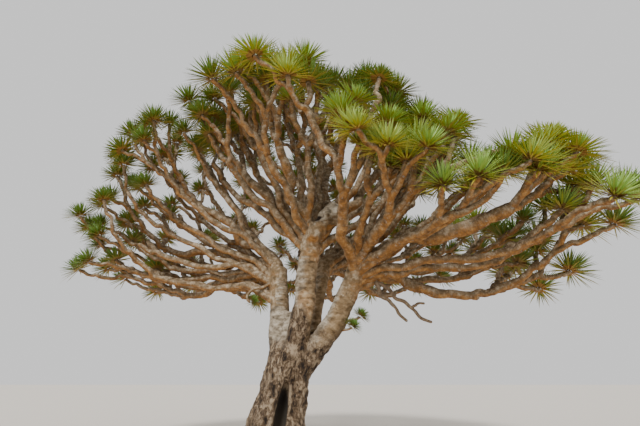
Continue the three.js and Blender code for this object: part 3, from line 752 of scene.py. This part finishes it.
# Materials
class Nodes:
    """A material's nodes, made and linked in short calls."""

    def __init__(self, name):
        self.material = bpy.data.materials.new(name)
        self.material.use_nodes = True
        self.tree = self.material.node_tree
        self.shader = self.tree.nodes["Principled BSDF"]

    def add(self, kind, **settings):
        node = self.tree.nodes.new(kind)
        for key, value in settings.items():
            setattr(node, key, value)
        return node

    def wire(self, source, target):
        """Links a socket to another, or sets it where the source is a plain value."""
        if isinstance(source, bpy.types.NodeSocket):
            self.tree.links.new(source, target)
        else:
            target.default_value = source

    def made(self, kind, output, **inputs):
        """An output of a new node, with the inputs that are given wired by name."""
        node = self.add(kind)
        for name, source in inputs.items():
            if source is not None:
                self.wire(source, node.inputs[name])
        return node.outputs[output]

    def place(self):
        return self.made("ShaderNodeTexCoord", "Object")

    def attribute(self, name):
        return self.add("ShaderNodeAttribute", attribute_name=name).outputs["Fac"]

    def axes(self, vector):
        """The X, Y and Z of a vector."""
        node = self.add("ShaderNodeSeparateXYZ")
        self.wire(vector, node.inputs[0])
        return [node.outputs[axis] for axis in "XYZ"]

    def facing(self):
        """The X, Y and Z of the direction in which the surface faces."""
        return self.axes(self.made("ShaderNodeNewGeometry", "Normal"))

    def stretched(self, height):
        """The place with its height scaled."""
        return self.made("ShaderNodeMapping", "Vector", Vector=self.place(), Scale=(1.0, 1.0, height))

    def noise(self, vector, scale, detail=4.0, roughness=0.55, distortion=0.0):
        inputs = {"Scale": scale, "Detail": detail, "Roughness": roughness, "Distortion": distortion}
        return self.made("ShaderNodeTexNoise", "Fac", Vector=vector, **inputs)

    def cells(self, vector, scale):
        return self.made("ShaderNodeTexVoronoi", "Distance", Vector=vector, Scale=scale)

    def ramp(self, value, *stops):
        """Colours or greys at shares from 0 to 1."""
        node = self.add("ShaderNodeValToRGB")
        elements = node.color_ramp.elements
        while len(elements) < len(stops):
            elements.new(0.5)
        for element, (share, color) in zip(elements, stops):
            element.position = share
            element.color = (color,) * 3 + (1,) if isinstance(color, (int, float)) else (*color, 1)
        self.wire(value, node.inputs["Fac"])
        return node.outputs["Color"]

    def math(self, operation, first, second=0.0):
        """One step of arithmetic. MULTIPLY_ADD adds 0.5, its third input's default."""
        node = self.add("ShaderNodeMath", operation=operation)
        self.wire(first, node.inputs[0])
        self.wire(second, node.inputs[1])
        return node.outputs[0]

    def plus(self, first, second):
        return self.math("ADD", first, second)

    def minus(self, first, second):
        return self.math("SUBTRACT", first, second)

    def times(self, first, second):
        return self.math("MULTIPLY", first, second)

    def mix(self, factor, first, second):
        node = self.add("ShaderNodeMix", data_type="RGBA")
        self.wire(factor, node.inputs[0])
        for color, socket in ((first, node.inputs[6]), (second, node.inputs[7])):
            self.wire((*color, 1) if isinstance(color, tuple) else color, socket)
        return node.outputs[2]

    def vectors(self, operation, *values):
        node = self.add("ShaderNodeVectorMath", operation=operation)
        for source, target in zip(values, node.inputs):
            self.wire(source, target)
        return node.outputs

    def near(self, vector, centre, half, waver):
        """1 inside an ellipsoid, fading to 0 outside it, with a wavering edge."""
        shifted = self.vectors("SUBTRACT", vector, centre)[0]
        shrunk = self.vectors("DIVIDE", shifted, half)[0]
        length = self.vectors("LENGTH", shrunk)["Value"]
        return self.ramp(self.plus(length, waver), (0.7, 1.0), (1.0, 0.0))

    def ring_scars(self, patches, rate, waver, width):
        """0 in thin, wavering rings round a limb, and 1 between them."""
        turns = self.plus(self.times(self.attribute("along"), rate), self.times(patches, waver))
        waves = self.math("MULTIPLY_ADD", self.math("SINE", turns), 0.5)
        return self.ramp(waves, (0.0, 0.0), (width, 1.0))

    def bump(self, height, strength, distance, normal=None):
        inputs = {"Height": height, "Strength": strength, "Distance": distance, "Normal": normal}
        return self.made("ShaderNodeBump", "Normal", **inputs)

    def finish(self, color, roughness, normal):
        self.wire(color, self.shader.inputs["Base Color"])
        self.wire(roughness, self.shader.inputs["Roughness"])
        self.wire(normal, self.shader.inputs["Normal"])
        return self.material


def limb_color(nodes, place, patches, tops, unders_with_bounce, blend):
    """Mottled tops that blend into mottled undersides by which way the surface faces: the undersides' orange
    is partly painted warm bounce light.
    """
    upper = nodes.ramp(nodes.noise(place, 13.0, 8, 0.6), *zip((0.3, 0.5, 0.68), tops))
    lower = nodes.ramp(nodes.noise(place, 11.0, 6, 0.6), *zip((0.3, 0.52, 0.7), unders_with_bounce))
    # Painted bounce light: surfaces that face down take the warmer underside colours
    upward = nodes.facing()[2]
    facing = nodes.plus(upward, nodes.math("MULTIPLY_ADD", patches, 1.7))
    bounce_share = nodes.ramp(nodes.times(facing, 0.5), (blend[0], 1.0), (blend[1], 0.0))
    return nodes.mix(bounce_share, upper, lower)


def trunk_bark(name):
    """Dark, lumpy and pitted low down and on the fork's front, smooth, pale and scarred on the stems, with
    painted shade in brown on their right sides and undersides.
    """
    nodes = Nodes(name)
    place = nodes.place()
    right, _, height = nodes.axes(place)
    patches = nodes.noise(place, 4.0, 5)
    waver = nodes.times(nodes.minus(patches, 0.5), 0.9)
    lows = nodes.plus(nodes.plus(nodes.times(height, -1.0), waver), 2.15)
    rough = nodes.ramp(lows, (0.42, 0.0), (0.68, 1.0))
    rough = nodes.math("MAXIMUM", rough, nodes.near(place, *ROUGH_STRIP, waver))
    coarse = nodes.noise(nodes.stretched(0.6), 9.0, 12, 0.76, 0.5)
    fine = nodes.noise(nodes.stretched(0.55), 26.0, 10, 0.74, 0.6)
    lumpy = nodes.plus(nodes.times(coarse, 0.6), nodes.times(fine, 0.4))
    dark = nodes.ramp(lumpy, *zip((0.43, 0.495, 0.57), ROUGH_BARK))
    mottled = nodes.noise(nodes.stretched(1.8), 9.0, 9, 0.6)
    smooth = nodes.ramp(mottled, *zip((0.34, 0.47, 0.64), PALE_BARK))
    shaded_side = nodes.ramp(mottled, *zip((0.34, 0.47, 0.64), SHADED_SIDE_BARK))
    # Painted shade: brown on the sides that face right and down and towards the right, kept off the burl
    rightward, _, upward = nodes.facing()
    shade = nodes.minus(nodes.times(rightward, 0.5), upward)
    shade = nodes.plus(shade, nodes.times(right, 0.9))
    burl = nodes.near(place, *BURL, waver)
    shade = nodes.plus(nodes.minus(shade, nodes.times(burl, 1.2)), waver)
    smooth = nodes.mix(nodes.ramp(shade, (0.0, 0.0), (0.5, 0.95)), smooth, shaded_side)
    patch = nodes.near(place, *RUSTY_PATCH, nodes.times(waver, 1.2))
    rust = nodes.ramp(mottled, *zip((0.36, 0.5, 0.62), RUSTY_BARK))
    smooth = nodes.mix(nodes.times(patch, 0.9), smooth, rust)
    scars = nodes.ring_scars(patches, 120.0, 12.0, 0.12)
    broken = nodes.ramp(nodes.noise(place, 12.0, 3), (0.45, 0.0), (0.6, 1.0))
    scarred = nodes.times(nodes.minus(1.0, scars), broken)
    smooth = nodes.mix(nodes.times(scarred, 0.5), smooth, STEM_SCAR)
    pits = nodes.ramp(nodes.cells(place, 13.0), (0.09, 1.0), (0.17, 0.0))
    smooth = nodes.mix(nodes.times(pits, 0.8), smooth, STEM_PIT)
    color = nodes.mix(rough, smooth, dark)
    # Painted shade and light in the hollow: nearly black at the top, where shade falls, and lighter at the
    # foot, where light falls in
    inside = nodes.near(place, *HOLLOW_INSIDE, nodes.times(waver, 0.3))
    color = nodes.mix(inside, color, nodes.ramp(height, (0.35, HOLLOW_LIT_FOOT), (0.8, HOLLOW_SHADED_TOP)))
    neck = nodes.near(place, *NECK, nodes.times(waver, 1.4))
    limb = limb_color(nodes, place, patches, BOUGH_TOPS, BOUGH_UNDERS_WITH_BOUNCE, BOUGH_BLEND)
    color = nodes.mix(nodes.math("MAXIMUM", nodes.attribute("warm"), neck), color, limb)
    # Painted shade: the burl's hole is coloured nearly black
    hole_shade = nodes.near(place, *HOLE, nodes.times(waver, 1.2))
    color = nodes.mix(hole_shade, color, HOLE_SHADE)
    relief = nodes.bump(nodes.times(lumpy, rough), 1.0, 0.09)
    relief = nodes.bump(nodes.noise(place, 55.0, 8, 0.65), 0.5, 0.012, relief)
    relief = nodes.bump(nodes.minus(1.0, nodes.math("MAXIMUM", scarred, pits)), 0.3, 0.008, relief)
    return nodes.finish(color, 0.9, relief)


def limb_bark(name, tops, unders_with_bounce, blend):
    """Grey bark with ring scars, lichen, pits and specks, and rust-coloured undersides that are partly
    painted warm bounce light.
    """
    nodes = Nodes(name)
    place = nodes.place()
    patches = nodes.noise(place, 5.0, 6)
    color = limb_color(nodes, place, patches, tops, unders_with_bounce, blend)
    scars = nodes.ring_scars(patches, 210.0, 9.0, 0.22)
    color = nodes.mix(nodes.times(nodes.minus(1.0, scars), 0.25), color, BOUGH_SCAR)
    lichen = nodes.ramp(nodes.noise(place, 24.0, 4, 0.6, 0.6), (0.6, 0.0), (0.68, 1.0))
    color = nodes.mix(nodes.times(lichen, 0.5), color, LICHEN)
    pits = nodes.ramp(nodes.cells(place, 34.0), (0.1, 0.0), (0.22, 1.0))
    color = nodes.mix(nodes.times(nodes.minus(1.0, pits), 0.5), color, BOUGH_PIT)
    specks = nodes.ramp(nodes.noise(place, 48.0, 5, 0.7, 0.4), (0.55, 0.0), (0.64, 1.0))
    color = nodes.mix(nodes.times(specks, 0.45), color, SPECK)
    relief = nodes.bump(nodes.noise(place, 24.0, 5, 0.6), 0.7, 0.03)
    relief = nodes.bump(nodes.noise(place, 42.0, 8, 0.65), 0.5, 0.012, relief)
    relief = nodes.bump(scars, 0.2, 0.006, relief)
    relief = nodes.bump(pits, 0.3, 0.006, relief)
    return nodes.finish(color, 0.88, relief)


def leaf_color(name, color, roughness):
    nodes = Nodes(name)
    nodes.shader.inputs["Specular IOR Level"].default_value = 0.35
    streaks = nodes.noise(nodes.place(), 90.0, 3)
    return nodes.finish((*color, 1), roughness, nodes.bump(streaks, 0.12, 0.004))


# Trunk and stems: one skin over the trunk, the stems, the stub and the first part of each bough
def trunk_radius(height, angle):
    flare = np.exp(-height / FLARE_DECAY)
    swell = smoothstep(height, FORK_START, TRUNK_HEIGHT) * FORK_SWELL
    broad = (0.05 + 0.1 * flare) * np.cos(4 * angle + 0.8)
    fine = (0.025 + 0.05 * flare) * np.cos(7 * angle - 1.1 + 2 * height / TRUNK_HEIGHT)
    rounding = smoothstep(height, TRUNK_HEIGHT - ROUNDING_HEIGHT, TRUNK_HEIGHT) ** 2
    plain = TRUNK_RADIUS + FLARE_RADIUS * flare + swell
    return plain * (1 + broad + fine) * (1 - FORK_ROUNDING * rounding)


def plain_tube(batch, line, radii, sides, end=1.0, narrowed=0.0):
    """A tube whose last tenth can be narrowed, so that it dives into the limb that carries it on."""
    shares = np.linspace(0, end, max(4, int(end * line.lengths[-1] / SKIN_PITCH)))
    radius = tapered(radii, shares)
    radius = radius * (1 - narrowed * smoothstep(shares, end - 0.1, end))
    side, across = frames_along(line.tangents(shares))
    around = np.repeat(radius[:, None], sides, axis=1)
    batch.tube(line.at(shares), side, across, around, shares * line.lengths[-1])


def ball(batch, centre, radius):
    """A round knob."""
    turns = np.linspace(0.1, 0.9, 7) * math.pi
    places = centre - UP * (radius * np.cos(turns))[:, None]
    sides = np.repeat(SIDEWAYS[None], len(turns), axis=0)
    across = np.cross(np.repeat(UP[None], len(turns), axis=0), sides)
    radii = np.repeat((radius * np.sin(turns))[:, None], 12, axis=1)
    batch.tube(places, sides, across, radii, turns * radius)


def values_of(items, name, width=1, kind=float):
    """A value of each point, corner or polygon, in rows where it has several numbers."""
    values = np.empty(len(items) * width, dtype=kind)
    items.foreach_get(name, values)
    return values.reshape(-1, width) if width > 1 else values


def bulge(points, centre, half):
    """1 at a place, fading out over its half sizes, for each point."""
    return np.exp(-(((points - vec(centre)) / vec(half)) ** 2).sum(1))


def bark_relief(points, along):
    """How far each point of the skin stands out: far low down and on the burl, and little on the stems."""
    low = 1 - smoothstep(points[:, 2] + 0.15 * lumps(points, 0.4, 9), 1.25, 1.75)
    rough = np.maximum(low, bulge(points, *ROUGH_RELIEF))
    relief = 0.022 * rough * lumps(points, 0.15, 1) + 0.008 * lumps(points, 0.09, 2)
    relief += rough * 0.020 * lumps(points, np.array((0.05, 0.05, 0.09)), 3)
    relief += (0.002 + 0.008 * rough) * lumps(points, 0.034, 4)
    relief += (1 - rough) * 0.002 * np.sin(along * 2 * math.pi / 0.09 + 2 * lumps(points, 0.3, 5))
    knobs = 0.035 * lumps(points, 0.09, 6) + 0.035 * lumps(points, 0.05, 7)
    relief += bulge(points, *BURL_RELIEF) * knobs - 0.07 * bulge(points, *HOLE_RELIEF)
    return relief


def carve_hollow(points):
    """Pushes what lies inside the hollow's lens back to the lens's far side."""
    lean = math.radians(HOLLOW_LEAN_DEG)
    away = points / METRES - vec(HOLLOW_PLACE)
    across_lens = (away[:, 0] * math.cos(lean) - away[:, 2] * math.sin(lean)) / HOLLOW_HALF[0]
    up_lens = (away[:, 2] * math.cos(lean) + away[:, 0] * math.sin(lean)) / HOLLOW_HALF[2]
    left_over = 1 - across_lens ** 2 - up_lens ** 2
    far_side = HOLLOW_PLACE[1] + HOLLOW_HALF[1] * np.sqrt(np.maximum(left_over, 0))
    inside = (left_over > 0) & (points[:, 1] / METRES < far_side) & (points[:, 1] < 0)
    points[:, 1] = np.where(inside, far_side * METRES, points[:, 1])


# The raw skin
trunk_line = LimbLine(
    vec((0, 0, 0)),
    vec((TRUNK_HEIGHT * TRUNK_LEAN, 0, TRUNK_HEIGHT)),
    vec((TRUNK_LEAN * LEAN_SHARES[0], 0, 1)),
    vec((TRUNK_LEAN * LEAN_SHARES[1], 0, 1)),
)
skin = Batch()
rows = np.linspace(0, 1, TRUNK_ROWS)
side, across = frames_along(trunk_line.tangents(rows), SIDEWAYS)
angles = np.arange(TRUNK_SIDES) / TRUNK_SIDES * 2 * math.pi
trunk_radii = trunk_radius(rows[:, None] * TRUNK_HEIGHT, angles[None, :] + math.pi / 2)
skin.tube(trunk_line.at(rows), side, across, trunk_radii, rows * TRUNK_HEIGHT)
for name, line in stem_lines.items():
    plain_tube(skin, line, STEMS[name][4], sides=24)
plain_tube(skin, stub_line, STUB_RADII, sides=20)
roll = dice(STUB_SEED)
for _ in range(STUB_KNOBS):
    share = 0.3 + 0.7 * roll()
    outward = unit(np.cross(stub_line.tangents(share)[0], heading(360 * roll(), 180 * roll() - 90)))
    ball(skin, stub_line.at(share)[0] + outward * STUB_RADII[1] * 0.75, 55 + 50 * roll())
plain_tube(skin, LimbLine(vec(WEB_FOOT), vec(WEB_TIP), UP, UP), WEB_RADII, sides=20)
for line, radii, *_ in limbs:
    plain_tube(skin, line, radii, sides=16, end=SKIN_SHARE, narrowed=0.3)
raw = add_object("raw_skin", skin.mesh("raw_skin"))
remesh = raw.modifiers.new("voxels", "REMESH")
remesh.mode = "VOXEL"
remesh.voxel_size = VOXEL
smooth = raw.modifiers.new("smooth", "SMOOTH")
smooth.factor = 0.5
smooth.iterations = 8
bpy.context.view_layer.update()
made = raw.evaluated_get(bpy.context.evaluated_depsgraph_get())
skin_mesh = bpy.data.meshes.new_from_object(made)
bpy.data.objects.remove(raw)
points = values_of(skin_mesh.vertices, "co", 3)
normals = values_of(skin_mesh.vertices, "normal", 3)

# How far along its limb each point of the skin is, with the height in its place low down, and how much of a
# bough's warm colours it takes: each limb has a span along it in which they come in
marked = [(line, 1, (WARM_FROM[name], 1)) for name, line in stem_lines.items()]
marked.append((stub_line, 1, (1, 2)))
marked += [(line, 2 * SKIN_SHARE, (-1, 0)) for line, *_ in limbs]
tree = KDTree(MARKS_PER_LIMB * len(marked))
marks = []
for line, end, span in marked:
    shares = np.linspace(0, end, MARKS_PER_LIMB)
    fars = shares * line.lengths[-1] * METRES
    for place, far, warm in zip(line.at(shares) * METRES, fars, smoothstep(shares, *span)):
        tree.insert(place, len(marks))
        marks.append((far, warm))
tree.balance()
along, warm = np.array([marks[tree.find(point)[1]] for point in points]).T
along = np.where(points[:, 2] < RINGS_FROM, points[:, 2], along)

points = points + normals * bark_relief(points, along)[:, None]
carve_hollow(points)
points[:, 2] = np.maximum(points[:, 2], 0)
skin_mesh.vertices.foreach_set("co", points.ravel())
skin_mesh.update()

stem_bark = trunk_bark("trunk_and_stem_bark")
bough_bark = limb_bark("bough_bark", BOUGH_TOPS, BOUGH_UNDERS_WITH_BOUNCE, BOUGH_BLEND)
dead_bark = limb_bark("dead_bark", DEAD_TOPS, DEAD_UNDERS_WITH_BOUNCE, DEAD_BLEND)


def part_of(mesh, keep, name):
    """The polygons of a mesh that keep picks, as a mesh of their own with the whole's normals."""
    corners = values_of(mesh.loops, "vertex_index", kind=np.int64)
    starts = values_of(mesh.polygons, "loop_start", kind=np.int64)[keep]
    totals = values_of(mesh.polygons, "loop_total", kind=np.int64)[keep]
    faces = [corners[start : start + total] for start, total in zip(starts, totals)]
    used = np.unique(np.concatenate(faces))
    renumber = np.zeros(len(mesh.vertices), dtype=np.int64)
    renumber[used] = np.arange(len(used))
    faces = [renumber[face].tolist() for face in faces]
    part = new_mesh(name, values_of(mesh.vertices, "co", 3)[used], faces)
    part.normals_split_custom_set_from_vertices(values_of(mesh.vertices, "normal", 3)[used])
    return part, used


is_trunk = values_of(skin_mesh.polygons, "center", 3)[:, 2] < SPLIT_HEIGHT
for name, keep, slot, nodes in (
    ("bark_trunk", is_trunk, "trunk_bark", ["trunk"]),
    ("bark_stems", ~is_trunk, "stem_bark", [f"stem_{name}" for name in STEMS]),
):
    part, used = part_of(skin_mesh, keep, name)
    store(part, "along", along[used])
    store(part, "warm", warm[used])
    add_piece(part, stem_bark, nodes)

# Boughs with their companions, then the twigs and the bare twigs
boughs = Batch()
for number, (line, radii, *_) in enumerate(limbs):
    seed = BOUGH_BARK_SEED + number
    add_limb(boughs, line, radii, sides=10, pitch=28, seed=seed, start=SKIN_SHARE - SKIN_OVERLAP)
add_piece(boughs.mesh("bark_boughs"), bough_bark, [f"bough_{name}" for name in BOUGHS])

masses = [f"foliage_{name}_{half}" for name in BOUGHS for half in "ab"]
for name, inner, sides in (("twigs_inner", True, 8), ("twigs_outer", False, 7)):
    batch = Batch()
    for twig in twigs:
        if (twig.generation < 2) == inner:
            add_limb(batch, twig.line, twig.radii, sides, pitch=34, seed=twig.seed + 5)
    add_piece(batch.mesh(name), bough_bark, masses)

bare = Batch()
bare_lines = []
for number, (on, at, reach, leave, arrive, radii) in enumerate(BARE_TWIGS):
    parent = bough_lines["low_right"][0] if on < 0 else bare_lines[on]
    bare_lines.append(side_limb(parent, at, reach, leave, arrive))
    add_limb(bare, bare_lines[-1], radii, sides=8, pitch=26, seed=BARE_TWIG_SEED + number)
add_piece(bare.mesh("bark_bare_twigs"), dead_bark, ["bare_twigs"])

# Rosettes: a leaf's points as shares along it, across it and of its fold, and its base's and blade's faces
LEAF_SHAPE = [(far, wide * way, wide * abs(way)) for far, wide in LEAF_ROWS for way in (-1, 0, 1)]
LEAF_SHAPE = np.array(LEAF_SHAPE + [(1, 0, 0)])
BASE_FACES = np.array(((0, 1, 4), (0, 4, 3), (1, 2, 5), (1, 5, 4)))
BLADE_FACES = np.concatenate((BASE_FACES + 3, ((6, 7, 9), (7, 8, 9))))
BOX_LOW, BOX_HIGH = (vec(corner) / METRES for corner in CAD_BOX)


def rosette(twig):
    """The points of a rosette's leaves, on a spiral from the tip's axis outwards, and their tiers."""
    roll = dice(twig.seed + 7)
    axis = unit(twig.line.tangents(1)[0] + UP * UPTURN)
    side, across = frames_along(axis[None])
    side, across = side[0], across[0]
    share = (np.arange(LEAVES) + 0.5) / LEAVES
    start, end = math.cos(math.radians(FIRST_LEAF_DEG)), math.cos(math.radians(LAST_LEAF_DEG))
    polar = np.arccos(start + (end - start) * share)
    rolls = np.array([[roll() for _ in range(3)] for _ in range(LEAVES)])
    polar = polar + (rolls[:, 0] - 0.5) * POLAR_JITTER
    azimuth = np.arange(LEAVES) * GOLDEN_ANGLE + rolls[:, 1] * TURN_JITTER
    outward = side * np.cos(azimuth)[:, None] + across * np.sin(azimuth)[:, None]
    aim = axis * np.cos(polar)[:, None] + outward * np.sin(polar)[:, None]
    root = twig.end + axis * LEAF_ROOT_RAISE + aim * LEAF_ROOT_RADIUS

    turned = smoothstep(twig.end[:2] @ LONG_LEAF_SIDE, *LONG_LEAF_SPAN)
    longest = LEAF_LENGTH * twig.leaf_share * (LEAF_SHORTEST + (1 - LEAF_SHORTEST) * turned)
    length = longest * (0.82 + 0.2 * rolls[:, 2]) * (0.86 + 0.18 * smoothstep(share, 0, 0.4))
    length = np.minimum(length, np.maximum(SHORTEST_ROOM, rooms_ahead(root, aim)))
    for low, high, way, foot in zip(BOX_LOW, BOX_HIGH, aim.T, root.T):
        reach = np.where(way > 0, high - foot, low - foot)
        length = np.minimum(length, np.where(np.abs(way) > 0.05, reach / way, 1e9))

    width_aim = np.cross(aim, outward * np.cos(polar)[:, None] - axis * np.sin(polar)[:, None])
    width_aim /= np.linalg.norm(width_aim, axis=1)[:, None]
    face_aim = np.cross(width_aim, aim)
    half_width = LEAF_HALF_WIDTH * (1 + twig.leaf_share) / 2
    far, wide, fold = LEAF_SHAPE.T
    droop = DROOP[0] + DROOP[1] * smoothstep(share, 0.3, 1)
    made = root[:, None] + aim[:, None] * (length[:, None] * far)[..., None]
    made += width_aim[:, None] * (half_width * wide)[None, :, None]
    made += face_aim[:, None] * (half_width * FOLD * fold)[None, :, None]
    made -= UP * ((length * droop)[:, None] * far ** 2)[..., None]

    # Painted light and shade: rosettes nearer the front more often get the light or bright tone, those
    # farther back the dark one
    front = smoothstep(-twig.end[1], *LIT_FRONT_SPAN)
    lit_chance = 0.05 + 0.85 * front if twig.leaf_share == 1 else 0
    tone = 1 if roll() > lit_chance else 2 * int(roll() * 1.4 * front + 0.3)
    return made, np.digitize(share, TIER_STARTS) + tone * (len(TIER_STARTS) + 1)


leaf_points, leaf_tiers = (np.concatenate(rows) for rows in zip(*map(rosette, rosettes)))
leaf_points = np.clip(leaf_points, BOX_LOW, BOX_HIGH)


def leaf_piece(name, picked, faces, color, roughness):
    """The picked leaves' faces as a mesh."""
    chosen = leaf_points[picked] * METRES
    number = np.arange(len(chosen))[:, None, None] * chosen.shape[1]
    every_face = (faces[None] + number).reshape(-1, 3)
    used, places = np.unique(every_face, return_inverse=True)
    mesh = new_mesh(name, chosen.reshape(-1, 3)[used], places.reshape(-1, 3).tolist())
    add_piece(mesh, leaf_color(name, color, roughness), masses)


for tier, color in enumerate(TIER_COLORS):
    leaf_piece(f"leaves_{tier}", leaf_tiers == tier, BLADE_FACES, color, 0.45)
first_half = np.arange(len(leaf_points)) < len(leaf_points) // 2
for half, picked, color in zip("ab", (first_half, ~first_half), LEAF_BASE_COLORS):
    leaf_piece(f"leaf_bases_{half}", picked, BASE_FACES, color, 0.6)

# Stage: floor, light and camera
corners = [(x * FLOOR_HALF, y * FLOOR_HALF, 0) for x, y in ((-1, -1), (1, -1), (1, 1), (-1, 1))]
floor_mesh = new_mesh("floor", corners, [(0, 1, 2, 3)])
floor = add_object("floor", floor_mesh)
floor_nodes = Nodes("floor")
floor_nodes.shader.inputs["Base Color"].default_value = (*FLOOR_COLOR, 1)
floor_nodes.shader.inputs["Roughness"].default_value = 0.9
floor_mesh.materials.append(floor_nodes.material)

world = bpy.data.worlds.new("studio")
bpy.context.scene.world = world
world.use_nodes = True
sky = world.node_tree.nodes["Background"].inputs
sky["Color"].default_value = (*SKY_COLOR, 1)
sky["Strength"].default_value = 1.0
sun = bpy.data.lights.new("key", "SUN")
sun.energy = SUN_STRENGTH
sun.angle = math.radians(SUN_WIDTH_DEG)
key = add_object("key", sun)
key.rotation_euler = [math.radians(turn) for turn in SUN_TURNS_DEG]

lens = bpy.data.cameras.new("camera")
lens.lens = CAMERA_LENS
lens.sensor_width = 36
lens.sensor_fit = "HORIZONTAL"
camera = add_object("camera", lens)
camera.location = CAMERA_PLACE
camera.rotation_euler = (math.radians(CAMERA_TILT_DEG), 0, 0)
bpy.context.scene.camera = camera
